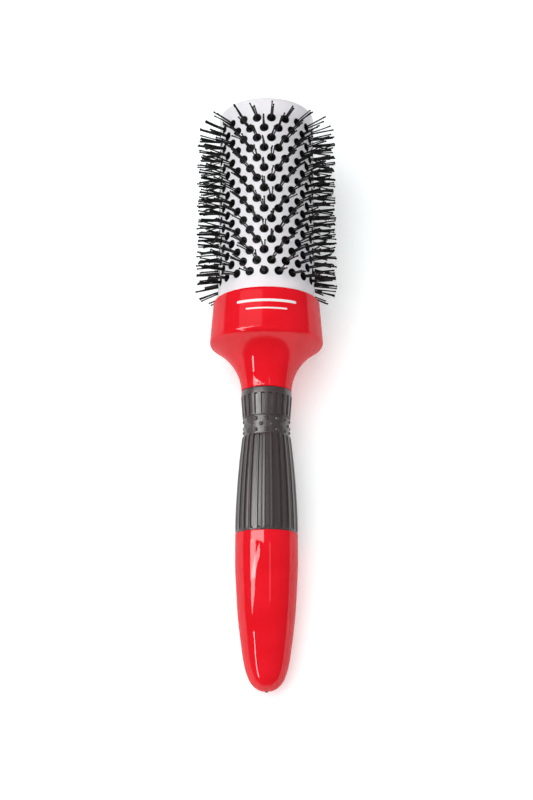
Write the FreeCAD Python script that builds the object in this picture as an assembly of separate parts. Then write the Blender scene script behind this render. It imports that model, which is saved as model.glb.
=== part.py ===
import FreeCAD, Part
import math
import os

from FreeCAD import Placement, Rotation, Vector

# Round barrel brush for blow drying, lying level.  Millimetres.
# +Y runs along the brush axis from the butt of the handle to the barrel end, +Z is up,
# and the origin is on the axis, halfway along the brush.
# A station is a distance along the axis from the butt of the handle.

# Lengths along the axis
tail_length = 65.1        # red tail, from the butt to the grip
grip_length = 62.2        # rubber grip
collar_length = 40.6      # red collar, from the grip to its mouth
barrel_show = 90.5        # barrel and its end cap, beyond the collar's mouth

# Clearances
seat = 0.05               # between pieces that are bonded, pressed or moulded on each other
running = 0.05            # radial, between pieces that slide
joint_line = 0.1          # gap seen between neighbouring outer pieces
stop_gap = 0.3            # left at each end of the pick's travel
rail_foot_gap = 0.4       # between the barrel's lower end and the rails'
cap_skirt_gap = 0.2       # between the cap's skirt and the end plate
core_flange_gap = 0.2     # radial, between the core's flange and the collar's seat
cutter_reach = 1.0        # that a cutting shape goes past what it cuts

# Barrel
barrel_r = 21.5
barrel_wall = 0.8
socket_depth = 10.0       # length of barrel held in the collar
hole_r = 2.0
hole_columns = 21         # holes around one ring
ring_count = 16
handle_plain = 8.05       # from the collar's mouth to the first ring of holes
first_hole_angle = -2.75  # of the first ring, from +Z towards +X

# Bristle strips: a rail with a tongue, and three filaments behind each hole
rail_gap = 0.3            # between a rail and the barrel's inner wall
rail_depth = 2.2
rail_side_gap = 0.3       # between neighbouring rails
rail_over = 0.7           # rail beyond the last ring of holes
tongue_width = 2.0
tongue_depth = 1.5
groove_clearance = 0.1
filament_r = 0.3
filament_ball_r = 0.42
filament_proud = 9.3      # ball centre above the barrel's surface
filament_root = 1.2       # depth of a filament in its rail
filaments_per_hole = 3
tuft_r = 0.5              # from the hole's axis to each filament's root
tuft_spread = 3.0         # degrees each filament leans out of its tuft
tuft_turn = 90.0          # degrees that every other ring's tufts are turned
handle_splay = 12.0       # degrees the first ring leans towards the handle
tip_splay = 8.0           # degrees the last ring leans towards the barrel end

# Core, end plate, screw and cap
core_wall = 2.1           # under the grooves
core_web = 2.0
plate_thickness = 1.5
plate_spigot = 4.0        # into the core
washer_r = 5.0
washer_thickness = 1.0
screw_r = 2.0
screw_head_r = 3.6
screw_head = 2.2
screw_bite = 12.0         # length of screw in the spine
screw_point = 0.6         # chamfer at the screw's foot
screw_head_edge = 0.7     # height of the head's bevel
screw_head_bevel = 0.9    # its width
screw_recess = 1.3        # depth of the cross recess
screw_recess_span = 4.3
screw_recess_width = 0.9
pilot_extra = 1.0         # pilot hole beyond the screw
screw_hole_clearance = 0.25
head_gap = 0.9            # between the screw head and the cap
cap_thickness = 1.6
cap_skirt_wall = 1.8
cap_edge_round = 1.1

# Collar
neck_r = 10.95
mouth_lip = 2.0           # wall around the barrel at the mouth
collar_swell = 1.4        # widest radius, less the mouth's radius
flare_length = 22.4       # from the neck to the widest place
collar_wall = 2.7
hub_wall = 2.6
hub_stand = 1.1           # hub beyond the collar's widest place
funnel_floor = 13.0       # from the grip to the floor around the hub
funnel_foot = 1.2         # width of that floor
seat_lip = 1.2            # step that the barrel's end stands on
mouth_round = 0.5

# Spine
spine_r = 7.5             # through the grip and the collar
spine_tail_r = 5.5        # inside the tail
spine_barrel_r = 6.0      # inside the barrel
spine_flange_r = 13.0
spine_flange = 3.0

# Grip
grip_foot_r = 13.32
grip_waist_r = 10.5
waist_slope = 0.125       # that the ribs still fall at the waist, per mm of length
pip_band_r = 9.8
slot_foot_r = 10.4
slot_head_r = 11.17
pip_zone = 8.0
slot_zone = 9.7
rim_zone = 2.6
rim_r = 10.95
foot_rim = 0.9            # plain rim under the ribs
rib_count = 25
rib_groove_share = 0.36   # of one rib's pitch
rib_groove_depth = 0.8
pip_r = 0.75
pip_rows = 3
pips_per_row = 13
pip_row_pitch = 2.45
slot_count = 22
slot_width = 1.5
slot_depth = 0.7
slot_margin = 0.5

# Tail
tail_r = 13.28
tail_straight = 10.6      # plain cylinder next to the grip
tail_wall = 2.6
tail_nose = 14.0          # solid stretch at the butt
tail_socket = 8.0         # length of spine held behind the nose
tail_taper = 1.2          # that the wall's inside narrows down to the spine's socket
plug_length = 7.8

# Sectioning pick, its guide and its slider
pick_r = 0.9
pick_proud = 0.5          # tip beyond the butt
pick_travel = 38.0
pick_hole_gap = 0.15      # radial, around the pick in the butt
guide_start = 4.5
guide_r = 2.4
guide_flange_r = 4.4
guide_flange = 2.0
chamber_r = 3.2
slider_gap = 0.2          # radial, between the slider and its chamber
slider_length = 7.0
slider_grip = 5.0         # length of pick held in the slider
o_ring_wire_r = 0.6

# Stations of the main joints
grip_start = tail_length
grip_end = grip_start + grip_length
mouth = grip_end + collar_length
tip = mouth + barrel_show
centre = (tip - pick_proud) / 2

# Stack inside the barrel, worked back from the end cap
cap_floor = tip - cap_thickness
head_station = cap_floor - head_gap - screw_head
plate_top = head_station - washer_thickness
plate_start = plate_top - plate_thickness
rail_end = plate_start - joint_line
last_ring = rail_end - rail_over - hole_r
first_ring = mouth + handle_plain
ring_pitch = (last_ring - first_ring) / (ring_count - 1)
tube_start = mouth - socket_depth
rail_start = tube_start + rail_foot_gap
spine_end = plate_start - plate_spigot - joint_line

# Radii inside the barrel
tube_inner_r = barrel_r - barrel_wall
rail_outer_r = tube_inner_r - rail_gap
rail_inner_r = rail_outer_r - rail_depth
core_outer_r = rail_inner_r - seat
groove_floor_r = rail_inner_r - tongue_depth - groove_clearance
core_inner_r = groove_floor_r - core_wall
seat_ring_r = tube_inner_r - seat_lip
column_pitch = 360.0 / hole_columns

# Stations inside the collar
widest_r = barrel_r + mouth_lip + collar_swell
flare_end = grip_end + flare_length
hub_end = flare_end + hub_stand
flange_end = hub_end + spine_flange
web_end = flange_end + core_web

# Stations of the grip's zones
ribs_start = grip_start + foot_rim
slots_end = grip_end - rim_zone
band_end = slots_end - slot_zone
ribs_end = band_end - pip_zone

# Stations of the pick's parts
slider_start = tail_nose + pick_travel + stop_gap
slider_end = slider_start + slider_length
chamber_end = slider_end + stop_gap
slider_r = chamber_r - slider_gap
o_ring_station = slider_end - 2 * o_ring_wire_r

AXIS = Vector(0, 1, 0)
ORIGIN = Vector(0, 0, 0)


def point(radius, station):
    """A point of a half section, which lies in the XY plane."""
    return Vector(radius, station - centre, 0)


def line(start, end):
    return Part.LineSegment(start, end).toShape()


def curve(points, first_way, last_way):
    """A smooth edge through the points, leaving and arriving along the two ways."""
    first_way.normalize()
    last_way.normalize()
    spline = Part.BSplineCurve()
    spline.interpolate(Points=points, InitialTangent=first_way, FinalTangent=last_way, Scale=False)
    return spline.toShape()


def turned(edges):
    """The solid that a closed half section sweeps around the brush axis."""
    face = Part.Face(Part.Wire(Part.__sortEdges__(edges)))
    return face.revolve(ORIGIN, AXIS, 360)


def turned_outline(corners):
    """The same for a section with straight sides, from its (radius, station) corners."""
    points = [point(radius, station) for radius, station in corners]
    return turned([line(a, b) for a, b in zip(points, points[1:] + points[:1])])


def ring(inner_r, outer_r, start, end):
    """A plain tube, or a rod where the inner radius is 0."""
    return turned_outline([(inner_r, start), (outer_r, start), (outer_r, end), (inner_r, end)])


def around(shape, degrees):
    """A copy turned about the brush axis, from +Z towards +X."""
    copy = shape.copy()
    copy.rotate(ORIGIN, AXIS, degrees)
    return copy


def wedge(reach, start, end, half_angle):
    """A slice of a rod, centred on +Z, that goes the half angle to either side of it."""
    blade = Part.Face(Part.makePolygon([
        Vector(0, start - centre, 0), Vector(0, start - centre, reach),
        Vector(0, end - centre, reach), Vector(0, end - centre, 0),
        Vector(0, start - centre, 0)]))
    return around(blade, -half_angle).revolve(ORIGIN, AXIS, half_angle * 2)


def rod_out(radius, start_r, end_r, station, degrees):
    """A round rod that stands out of the axis."""
    rod = Part.makeCylinder(radius, end_r - start_r, Vector(0, station - centre, start_r))
    return around(rod, degrees)


def end_rims(shape, station):
    """The round edges of a turned shape that lie at the station."""
    level = point(0, station).y
    return [edge for edge in shape.Edges if abs(edge.CenterOfMass.y - level) < joint_line / 2]


def strip_angle(number):
    """Where a strip is centred: between its two columns, half a pitch apart."""
    return first_hole_angle + (number + 0.25) * column_pitch


def barrel_tube():
    """Perforated aluminium tube with staggered rings of round holes."""
    tube = ring(tube_inner_r, barrel_r, tube_start, cap_floor - joint_line / 2)
    holes = []
    for row in range(ring_count):
        shift = 0.5 * (row % 2)
        for column in range(hole_columns):
            angle = first_hole_angle + (column + shift) * column_pitch
            station = first_ring + row * ring_pitch
            inner_r = tube_inner_r - cutter_reach
            holes.append(rod_out(hole_r, inner_r, barrel_r + cutter_reach, station, angle))
    return tube.cut(holes)


def barrel_end_cap():
    """Flat white cap with a rounded edge and a skirt pressed into the tube."""
    skirt_r = tube_inner_r - seat
    bore_r = skirt_r - cap_skirt_wall
    bottom = plate_top + cap_skirt_gap
    cap = turned_outline([
        (0, cap_floor), (bore_r, cap_floor), (bore_r, bottom), (skirt_r, bottom),
        (skirt_r, cap_floor), (barrel_r, cap_floor), (barrel_r, tip), (0, tip)])
    return cap.makeFillet(cap_edge_round, end_rims(cap, tip))


def filament():
    """One nylon filament with a ball tip, standing along +Z from its root at the origin."""
    length = barrel_r + filament_proud - rail_outer_r + filament_root
    neck = length - math.sqrt(filament_ball_r ** 2 - filament_r ** 2)
    foot = Vector(0, 0, 0)
    side = Vector(filament_r, 0, 0)
    throat = Vector(filament_r, 0, neck)
    cheek = Vector(filament_ball_r, 0, length)
    top = Vector(0, 0, length + filament_ball_r)
    ball = Part.Arc(throat, cheek, top).toShape()
    face = Part.Face(Part.Wire([line(foot, side), line(side, throat), ball, line(top, foot)]))
    return face.revolve(ORIGIN, Vector(0, 0, 1), 360)


def tuft(row, degrees):
    """The filaments behind one hole, leaning apart; the end rings also splay outwards."""
    splay = 0.0
    if row == 0:
        splay = -handle_splay
    if row == ring_count - 1:
        splay = tip_splay
    root_r = rail_outer_r - filament_root
    wall_r = barrel_r - barrel_wall / 2
    slant = math.tan(math.radians(splay)) * (wall_r - root_r)
    station = first_ring + row * ring_pitch - slant - centre
    hairs = []
    for number in range(filaments_per_hole):
        turn = math.radians(360.0 * number / filaments_per_hole + tuft_turn * (row % 2))
        lean = math.tan(math.radians(tuft_spread))
        way = Vector(lean * math.cos(turn), lean * math.sin(turn), 1)
        way.y += math.tan(math.radians(splay))
        root = Vector(tuft_r * math.cos(turn), station + tuft_r * math.sin(turn), root_r)
        hair = filament()
        hair.Placement = Placement(root, Rotation(Vector(0, 0, 1), way))
        hairs.append(around(hair, degrees))
    return hairs


def bristle_strip():
    """A rail for two staggered columns of tufts, with its tongue, centred on +Z."""
    half_angle = column_pitch / 2 - math.degrees(rail_side_gap / 2 / rail_outer_r)
    rail = ring(rail_inner_r, rail_outer_r, rail_start, rail_end)
    rail = rail.common(wedge(rail_outer_r + cutter_reach, rail_start, rail_end, half_angle))
    depth = rail_depth / 2 + tongue_depth
    corner = Vector(-tongue_width / 2, rail_start - centre, rail_inner_r - tongue_depth)
    tongue = Part.makeBox(tongue_width, rail_end - rail_start, depth, corner)
    hairs = []
    for row in range(ring_count):
        side = (row % 2) - 0.5
        hairs += tuft(row, side * column_pitch / 2)
    return rail.fuse([tongue] + hairs)


def bristle_core():
    """Hollow core that slides over the spine and holds the rails' tongues in its grooves."""
    bore_r = spine_barrel_r + seat
    flange_r = seat_ring_r - core_flange_gap
    core = turned_outline([
        (bore_r, flange_end), (flange_r, flange_end), (flange_r, web_end),
        (core_outer_r, web_end), (core_outer_r, rail_end), (core_inner_r, rail_end),
        (core_inner_r, web_end), (bore_r, web_end)])
    width = tongue_width + 2 * groove_clearance
    corner = Vector(-width / 2, rail_start - joint_line - centre, groove_floor_r)
    length = rail_end - rail_start + cutter_reach
    groove = Part.makeBox(width, length, core_outer_r, corner)
    grooves = [around(groove, strip_angle(number)) for number in range(hole_columns)]
    return core.cut(grooves)


def core_end_plate():
    """Plate that closes the core and keeps the rails in."""
    hole = screw_r + screw_hole_clearance
    spigot_r = core_inner_r - seat
    return turned_outline([
        (hole, plate_start - plate_spigot), (spigot_r, plate_start - plate_spigot),
        (spigot_r, plate_start), (rail_outer_r, plate_start), (rail_outer_r, plate_top),
        (hole, plate_top)])


def tie_screw():
    """Pan-head screw from the end plate into the spine, with a cross recess."""
    foot = spine_end - screw_bite
    head_top = head_station + screw_head
    screw = turned_outline([
        (0, foot), (screw_r - screw_point, foot), (screw_r, foot + screw_point),
        (screw_r, head_station), (screw_head_r, head_station),
        (screw_head_r, head_top - screw_head_edge),
        (screw_head_r - screw_head_bevel, head_top), (0, head_top)])
    floor = head_top - screw_recess - centre
    corner = Vector(-screw_recess_span / 2, floor, -screw_recess_width / 2)
    length = screw_recess + cutter_reach
    slot = Part.makeBox(screw_recess_span, length, screw_recess_width, corner)
    return screw.cut([slot, around(slot, 90)])


def handle_collar():
    """Red collar: a funnel with a hub for the spine and a socket for the barrel."""
    outer_mouth_r = barrel_r + mouth_lip
    rise = widest_r - neck_r
    flare = [(0.185, 0.036), (0.375, 0.1355), (0.5, 0.245), (0.625, 0.39),
             (0.75, 0.585), (0.875, 0.845), (0.955, 0.985)]
    start = grip_end + joint_line / 2
    points = [point(neck_r, start)]
    points += [point(neck_r + rise * up, grip_end + flare_length * along) for along, up in flare]
    points.append(point(widest_r, flare_end))
    cone_way = point(outer_mouth_r, mouth) - point(widest_r, flare_end)
    outside = curve(points, Vector(0, 1, 0), cone_way)
    hub_r = spine_r + hub_wall
    bore_r = spine_r + seat
    floor = grip_end + funnel_floor
    inner = [
        (outer_mouth_r, mouth), (barrel_r + seat, mouth), (barrel_r + seat, tube_start),
        (seat_ring_r, tube_start), (seat_ring_r, hub_end - collar_wall / 2),
        (seat_ring_r - collar_wall / 2, flare_end - collar_wall),
        (hub_r + funnel_foot, floor), (hub_r, floor), (hub_r, hub_end), (bore_r, hub_end),
        (bore_r, start), (neck_r, start)]
    corners = [point(radius, station) for radius, station in inner]
    edges = [outside, line(points[-1], corners[0])]
    edges += [line(a, b) for a, b in zip(corners, corners[1:])]
    collar = turned(edges)
    return collar.makeFillet(mouth_round, end_rims(collar, mouth))


def handle_spine():
    """Black nylon spine, from the tail to the far end of the barrel."""
    start = tail_nose + joint_line
    spine = turned_outline([
        (0, start), (spine_tail_r, start), (spine_tail_r, grip_start), (spine_r, grip_start),
        (spine_r, hub_end), (spine_flange_r, hub_end), (spine_flange_r, flange_end),
        (spine_barrel_r, flange_end), (spine_barrel_r, spine_end), (0, spine_end)])
    chamber = ring(0, chamber_r, start, chamber_end)
    pilot = ring(0, screw_r + seat, spine_end - screw_bite - pilot_extra, spine_end)
    return spine.cut([chamber, pilot])


def grip_skin(drop):
    """The ribbed stretch's outside, let down by the drop, as a solid to the axis."""
    length = ribs_end - grip_start
    foot_r = grip_foot_r - drop
    waist_r = grip_waist_r - drop
    shape = [(0.22, 0.06), (0.48, 0.262), (0.74, 0.575)]
    points = [point(foot_r, grip_start)]
    points += [point(foot_r + (waist_r - foot_r) * down, grip_start + length * along)
               for along, down in shape]
    points.append(point(waist_r, ribs_end))
    return turned([
        curve(points, Vector(0, 1, 0), Vector(-waist_slope, 1, 0)),
        line(points[-1], point(0, ribs_end)),
        line(point(0, ribs_end), point(0, grip_start)),
        line(point(0, grip_start), points[0])])


def grip_sleeve():
    """Soft rubber grip: long ribs, a band of pips, and a zone of short slots."""
    outer = grip_skin(0)
    half_angle = 180.0 / rib_count * rib_groove_share
    blade = wedge(grip_foot_r + cutter_reach, ribs_start, ribs_end, half_angle)
    blades = [around(blade, number * 360.0 / rib_count) for number in range(rib_count)]
    grooves = outer.cut(grip_skin(rib_groove_depth)).common(Part.makeCompound(blades))
    ribs = outer.cut(grooves)
    upper = turned_outline([
        (0, ribs_end), (pip_band_r, ribs_end), (pip_band_r, band_end), (slot_foot_r, band_end),
        (slot_head_r, slots_end), (rim_r, slots_end), (rim_r, grip_end - joint_line / 2),
        (0, grip_end - joint_line / 2)])
    start = band_end + slot_margin
    corner = Vector(-slot_width / 2, start - centre, slot_foot_r - slot_depth)
    slot = Part.makeBox(slot_width, slots_end - slot_margin - start, slot_head_r, corner)
    slots = [around(slot, (number + 0.5) * 360.0 / slot_count) for number in range(slot_count)]
    pips = []
    middle = (ribs_end + band_end) / 2
    for row in range(pip_rows):
        station = middle + (row - (pip_rows - 1) / 2) * pip_row_pitch
        for number in range(pips_per_row):
            pip = Part.makeSphere(pip_r, Vector(0, station - centre, pip_band_r))
            pips.append(around(pip, (number + 0.5 * (row % 2)) * 360.0 / pips_per_row))
    sleeve = ribs.fuse([upper.cut(slots)] + pips)
    bore = ring(0, spine_r + seat, grip_start - cutter_reach, grip_end + cutter_reach)
    return sleeve.cut(bore)


def tail_outline(drop, first):
    """Points of the tail's outside, let down by the drop, from the given one on."""
    shape = [(0.0385, 0.414), (0.141, 0.640), (0.319, 0.783), (0.560, 0.904), (0.804, 0.971)]
    length = tail_length - tail_straight
    points = [point(tail_r * up - drop, length * along) for along, up in shape[first:]]
    points.append(point(tail_r - drop, length))
    return points


def handle_tail():
    """Red tail: a shell with a solid nose that guides the pick."""
    hole_edge = pick_r + pick_hole_gap
    end = tail_length - joint_line / 2
    socket_end = tail_nose + tail_socket
    outside = [point(hole_edge, 0)] + tail_outline(0, 0)
    inside = tail_outline(tail_wall, 3)
    foot = point(inside[0].x - tail_taper, socket_end)
    rim = [outside[-1], point(tail_r, end), point(tail_r - tail_wall, end), inside[-1]]
    back = [foot]
    back += [point(radius, station) for radius, station in [
        (spine_tail_r + seat, socket_end), (spine_tail_r + seat, tail_nose),
        (guide_flange_r + seat, tail_nose), (guide_flange_r + seat, tail_nose - guide_flange),
        (guide_r + seat, tail_nose - guide_flange), (guide_r + seat, guide_start),
        (hole_edge, guide_start), (hole_edge, 0)]]
    edges = [curve(outside, Vector(1, 0, 0), Vector(0, 1, 0)),
             curve([foot] + inside, inside[0] - foot, Vector(0, 1, 0))]
    for corners in (rim, back):
        edges += [line(a, b) for a, b in zip(corners, corners[1:])]
    return turned(edges)


def tail_plug():
    """Ring that closes the tail around the spine."""
    return ring(spine_tail_r + seat, tail_r - tail_wall - seat,
                tail_length - joint_line - plug_length, tail_length - joint_line)


def pick_guide():
    """Flanged bush in the butt that the pick slides through."""
    bore_r = pick_r + running
    flange_start = tail_nose - guide_flange
    return turned_outline([
        (bore_r, guide_start + joint_line), (guide_r, guide_start + joint_line),
        (guide_r, flange_start + seat), (guide_flange_r, flange_start + seat),
        (guide_flange_r, tail_nose), (bore_r, tail_nose)])


def sectioning_pick():
    """Thin steel pick with a round tip, for parting hair."""
    end = slider_start + slider_grip
    shoulder = pick_r - pick_proud
    half_way = pick_r * math.sqrt(0.5)
    tip_top = point(0, -pick_proud)
    tip_side = point(pick_r, shoulder)
    round_tip = Part.Arc(tip_top, point(half_way, shoulder - half_way), tip_side)
    corners = [tip_side, point(pick_r, end), point(0, end), tip_top]
    return turned([round_tip.toShape()] + [line(a, b) for a, b in zip(corners, corners[1:])])


def pick_slider():
    """Head moulded on the pick, with a groove for its friction ring."""
    groove_r = chamber_r - running - 2 * o_ring_wire_r
    half = o_ring_wire_r + seat
    slider = ring(0, slider_r, slider_start, slider_end)
    socket = ring(0, pick_r + seat, slider_start, slider_start + slider_grip + seat)
    groove = ring(groove_r, chamber_r, o_ring_station - half, o_ring_station + half)
    return slider.cut([socket, groove])


def pick_o_ring():
    """Rubber ring whose friction holds the pick where it is left."""
    middle_r = chamber_r - running - o_ring_wire_r
    return Part.makeTorus(middle_r, o_ring_wire_r, point(0, o_ring_station), AXIS)


def pieces():
    """Every piece of the brush, by name."""
    found = {
        "barrel_tube": barrel_tube(),
        "barrel_end_cap": barrel_end_cap(),
        "core_end_plate": core_end_plate(),
        "tie_washer": ring(screw_r + screw_hole_clearance, washer_r, plate_top, head_station),
        "tie_screw": tie_screw(),
        "bristle_core": bristle_core(),
        "handle_collar": handle_collar(),
        "handle_spine": handle_spine(),
        "grip_sleeve": grip_sleeve(),
        "handle_tail": handle_tail(),
        "tail_plug": tail_plug(),
        "pick_guide": pick_guide(),
        "sectioning_pick": sectioning_pick(),
        "pick_slider": pick_slider(),
        "pick_o_ring": pick_o_ring(),
    }
    strip = bristle_strip()
    for number in range(hole_columns):
        found[f"bristle_strip_{number + 1:02d}"] = around(strip, strip_angle(number))
    return found


os.makedirs("parts", exist_ok=True)
for name, shape in pieces().items():
    if len(shape.Solids) == 1:
        shape = shape.Solids[0]
    print(name, len(shape.Solids), shape.isValid(), round(shape.Volume, 1))
    shape.exportStep(f"parts/{name}.step")
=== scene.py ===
import math

import bmesh
import bpy
import numpy as np
from mathutils import Euler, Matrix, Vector


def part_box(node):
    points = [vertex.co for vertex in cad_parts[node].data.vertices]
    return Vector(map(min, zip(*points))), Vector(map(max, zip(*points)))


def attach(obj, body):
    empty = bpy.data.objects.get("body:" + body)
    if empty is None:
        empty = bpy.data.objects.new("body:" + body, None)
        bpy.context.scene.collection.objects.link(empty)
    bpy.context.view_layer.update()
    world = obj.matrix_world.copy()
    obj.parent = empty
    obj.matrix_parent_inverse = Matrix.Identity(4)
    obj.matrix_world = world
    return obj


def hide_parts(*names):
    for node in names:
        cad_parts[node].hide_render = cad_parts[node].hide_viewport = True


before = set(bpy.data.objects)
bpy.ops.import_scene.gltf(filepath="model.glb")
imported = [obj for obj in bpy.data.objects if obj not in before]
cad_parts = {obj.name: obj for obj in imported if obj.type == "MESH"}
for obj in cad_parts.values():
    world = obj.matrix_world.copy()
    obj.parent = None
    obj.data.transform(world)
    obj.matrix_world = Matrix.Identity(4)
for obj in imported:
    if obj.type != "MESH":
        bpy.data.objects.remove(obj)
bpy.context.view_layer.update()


# ---- Inner mouldings -------------------------------------------------------------------
# The spine, the bristle core, its end plate, the tail's plug, the pick's bush and slider are
# black glass-filled nylon, injection moulded.  They are sealed inside, and keep their CAD shape.

def new_node(tree, kind, values=None, **settings):
    """A shader node with its settings and its unlinked input values."""
    node = tree.nodes.new(kind)
    for name, value in settings.items():
        setattr(node, name, value)
    for name, value in (values or {}).items():
        node.inputs[name].default_value = value
    return node


def new_group(name, inputs, outputs):
    """A node group with float inputs (name, default) and outputs (name, socket type)."""
    group = bpy.data.node_groups.new(name, "ShaderNodeTree")
    for label, default in inputs:
        socket = group.interface.new_socket(label, in_out="INPUT", socket_type="NodeSocketFloat")
        socket.default_value = default
    for label, kind in outputs:
        group.interface.new_socket(label, in_out="OUTPUT", socket_type=kind)
    return group, group.nodes.new("NodeGroupInput"), group.nodes.new("NodeGroupOutput")


def grain_group():
    """Moulded grain: fine noise on Object coordinates, given as a value and as a normal."""
    group, given, made = new_group(
        "moulded_grain", [("Scale", 900.0), ("Relief", 0.00001)],
        [("Value", "NodeSocketFloat"), ("Normal", "NodeSocketVector")])
    place = new_node(group, "ShaderNodeTexCoord")
    noise = new_node(group, "ShaderNodeTexNoise", {"Detail": 4.0, "Roughness": 0.6})
    bump = new_node(group, "ShaderNodeBump", {"Strength": 1.0})
    group.links.new(place.outputs["Object"], noise.inputs["Vector"])
    group.links.new(given.outputs["Scale"], noise.inputs["Scale"])
    group.links.new(noise.outputs["Fac"], bump.inputs["Height"])
    group.links.new(given.outputs["Relief"], bump.inputs["Distance"])
    group.links.new(noise.outputs["Fac"], made.inputs["Value"])
    group.links.new(bump.outputs["Normal"], made.inputs["Normal"])
    return group


moulded_grain = grain_group()


def new_material(name, **sockets):
    """A material with its Principled shader's own values set, its tree and that shader."""
    material = bpy.data.materials.new(name)
    material.use_nodes = True
    shader = material.node_tree.nodes["Principled BSDF"]
    for label, value in sockets.items():
        shader.inputs[label.replace("_", " ")].default_value = value
    return material, material.node_tree, shader


def spread(tree, value, low, high):
    """The value, which runs from about 0.3 to 0.7, carried to run from low to high."""
    node = new_node(tree, "ShaderNodeMapRange", {
        "From Min": 0.3, "From Max": 0.7, "To Min": low, "To Max": high})
    tree.links.new(value, node.inputs["Value"])
    return node.outputs["Result"]


def tint(tree, value, dark, light):
    """A colour between dark and light, by the value, which runs from about 0.3 to 0.7."""
    ramp = new_node(tree, "ShaderNodeValToRGB")
    ramp.color_ramp.elements[0].position = 0.3
    ramp.color_ramp.elements[0].color = (*dark, 1.0)
    ramp.color_ramp.elements[1].position = 0.7
    ramp.color_ramp.elements[1].color = (*light, 1.0)
    tree.links.new(value, ramp.inputs["Fac"])
    return ramp.outputs["Color"]


def grained(name, dark, light, smoothest, roughest, scale, relief, **sockets):
    """A moulded finish: grain tints the colour, varies the roughness and lifts the surface."""
    material, tree, shader = new_material(name, **sockets)
    grain = new_node(tree, "ShaderNodeGroup", node_tree=moulded_grain)
    grain.inputs["Scale"].default_value = scale
    grain.inputs["Relief"].default_value = relief
    value = grain.outputs["Value"]
    tree.links.new(tint(tree, value, dark, light), shader.inputs["Base Color"])
    tree.links.new(spread(tree, value, smoothest, roughest), shader.inputs["Roughness"])
    tree.links.new(grain.outputs["Normal"], shader.inputs["Normal"])
    return material


moulded_nylon = grained("moulded_nylon", (0.010, 0.010, 0.010), (0.020, 0.019, 0.019),
                        0.42, 0.60, 1500.0, 0.00002)


def finish(node, material):
    """Gives a CAD node its finish."""
    node.data.materials.clear()
    node.data.materials.append(material)


for name in ("handle_spine", "bristle_core", "core_end_plate", "tail_plug", "pick_guide",
             "pick_slider"):
    finish(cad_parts[name], moulded_nylon)


# ---- Tie screw and washer --------------------------------------------------------------
# A zinc-plated pan-head screw with a cross recess and its turned washer, drawn up inside the
# cap, and kept in their CAD shape.

def turned_steel():
    """Bright zinc plate with faint turning rings about the brush axis."""
    material, tree, shader = new_material("turned_steel", Metallic=1.0)
    place = new_node(tree, "ShaderNodeTexCoord")
    rings = new_node(tree, "ShaderNodeTexWave", {"Scale": 1800.0, "Distortion": 2.0},
                     wave_type="RINGS", rings_direction="Y")
    tree.links.new(place.outputs["Object"], rings.inputs["Vector"])
    value = rings.outputs["Fac"]
    colour = tint(tree, value, (0.50, 0.51, 0.53), (0.62, 0.63, 0.65))
    tree.links.new(colour, shader.inputs["Base Color"])
    tree.links.new(spread(tree, value, 0.24, 0.36), shader.inputs["Roughness"])
    return material


screw_steel = turned_steel()
for name in ("tie_screw", "tie_washer"):
    finish(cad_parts[name], screw_steel)


# ---- Barrel tube -----------------------------------------------------------------------
# Aluminium tube with a satin white ceramic coat.  Its round holes are punched in staggered
# rings, which leaves a softly rolled edge around each; the wall inside each is painted near black
# as shade.

MM = 0.001
barrel_r = 21.5 * MM
barrel_wall = 0.8 * MM
# Deeper in than this radius the walls of the holes are painted near black, as painted shade.
wall_shade_r = barrel_r - 0.16 * MM
hole_r = 2.0 * MM
# Points across and along the plate around one hole, and so around the hole itself.
cell_across, cell_along = 8, 4
hole_points = 2 * (cell_across + cell_along)
# The rolled edge, in millimetres: out from the hole's rim, and down from the barrel's face.
hole_lip = [(0.14, 0.0), (0.06, 0.015), (0.015, 0.05), (0.0, 0.12), (0.0, barrel_wall / MM)]
hole_columns = 21
ring_count = 16
first_hole = math.radians(-2.75)
column_pitch = 2 * math.pi / hole_columns
mouth_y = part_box("handle_collar")[1][1]
tip_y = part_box("barrel_end_cap")[1][1]
first_ring_y = mouth_y + 8.05 * MM
last_ring_y = tip_y - 10.0 * MM
ring_pitch = (last_ring_y - first_ring_y) / (ring_count - 1)


def solid(name, vertices, faces, crease=35.0, open_sides=0):
    """An object from an array of vertices and a list of faces: doubles welded, openings of up
    to open_sides edges closed, faces outwards, smooth up to the crease angle in degrees."""
    mesh = bpy.data.meshes.new(name)
    mesh.from_pydata(vertices.tolist(), [], faces)
    shape = bmesh.new()
    shape.from_mesh(mesh)
    bmesh.ops.remove_doubles(shape, verts=shape.verts, dist=0.002 * MM)
    if open_sides:
        edges = [edge for edge in shape.edges if edge.is_boundary]
        bmesh.ops.holes_fill(shape, edges=edges, sides=open_sides)
    bmesh.ops.recalc_face_normals(shape, faces=shape.faces)
    shape.to_mesh(mesh)
    shape.free()
    mesh.shade_smooth()
    mesh.set_sharp_from_angle(angle=math.radians(crease))
    piece = bpy.data.objects.new(name, mesh)
    bpy.context.collection.objects.link(piece)
    return piece


def grid_faces(rows, columns, wrap_rows, wrap_columns):
    """Quads between neighbours of a grid of vertices numbered row by row: (row, column), its
    right, diagonal and next-row neighbours, counted around where the grid wraps."""
    row = np.arange(rows if wrap_rows else rows - 1)[:, None]
    column = np.arange(columns if wrap_columns else columns - 1)[None, :]
    next_row = (row + 1) % rows
    next_column = (column + 1) % columns
    corners = [row * columns + column, row * columns + next_column,
               next_row * columns + next_column, next_row * columns + column]
    size = (row.size, column.size)
    return np.stack([np.broadcast_to(part, size) for part in corners], -1).reshape(-1, 4)


def polar(angle, radius, y):
    """Points (radius sin angle, y, radius cos angle): the angle runs from +Z towards +X."""
    return np.stack(np.broadcast_arrays(radius * np.sin(angle), y, radius * np.cos(angle)), -1)


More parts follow.
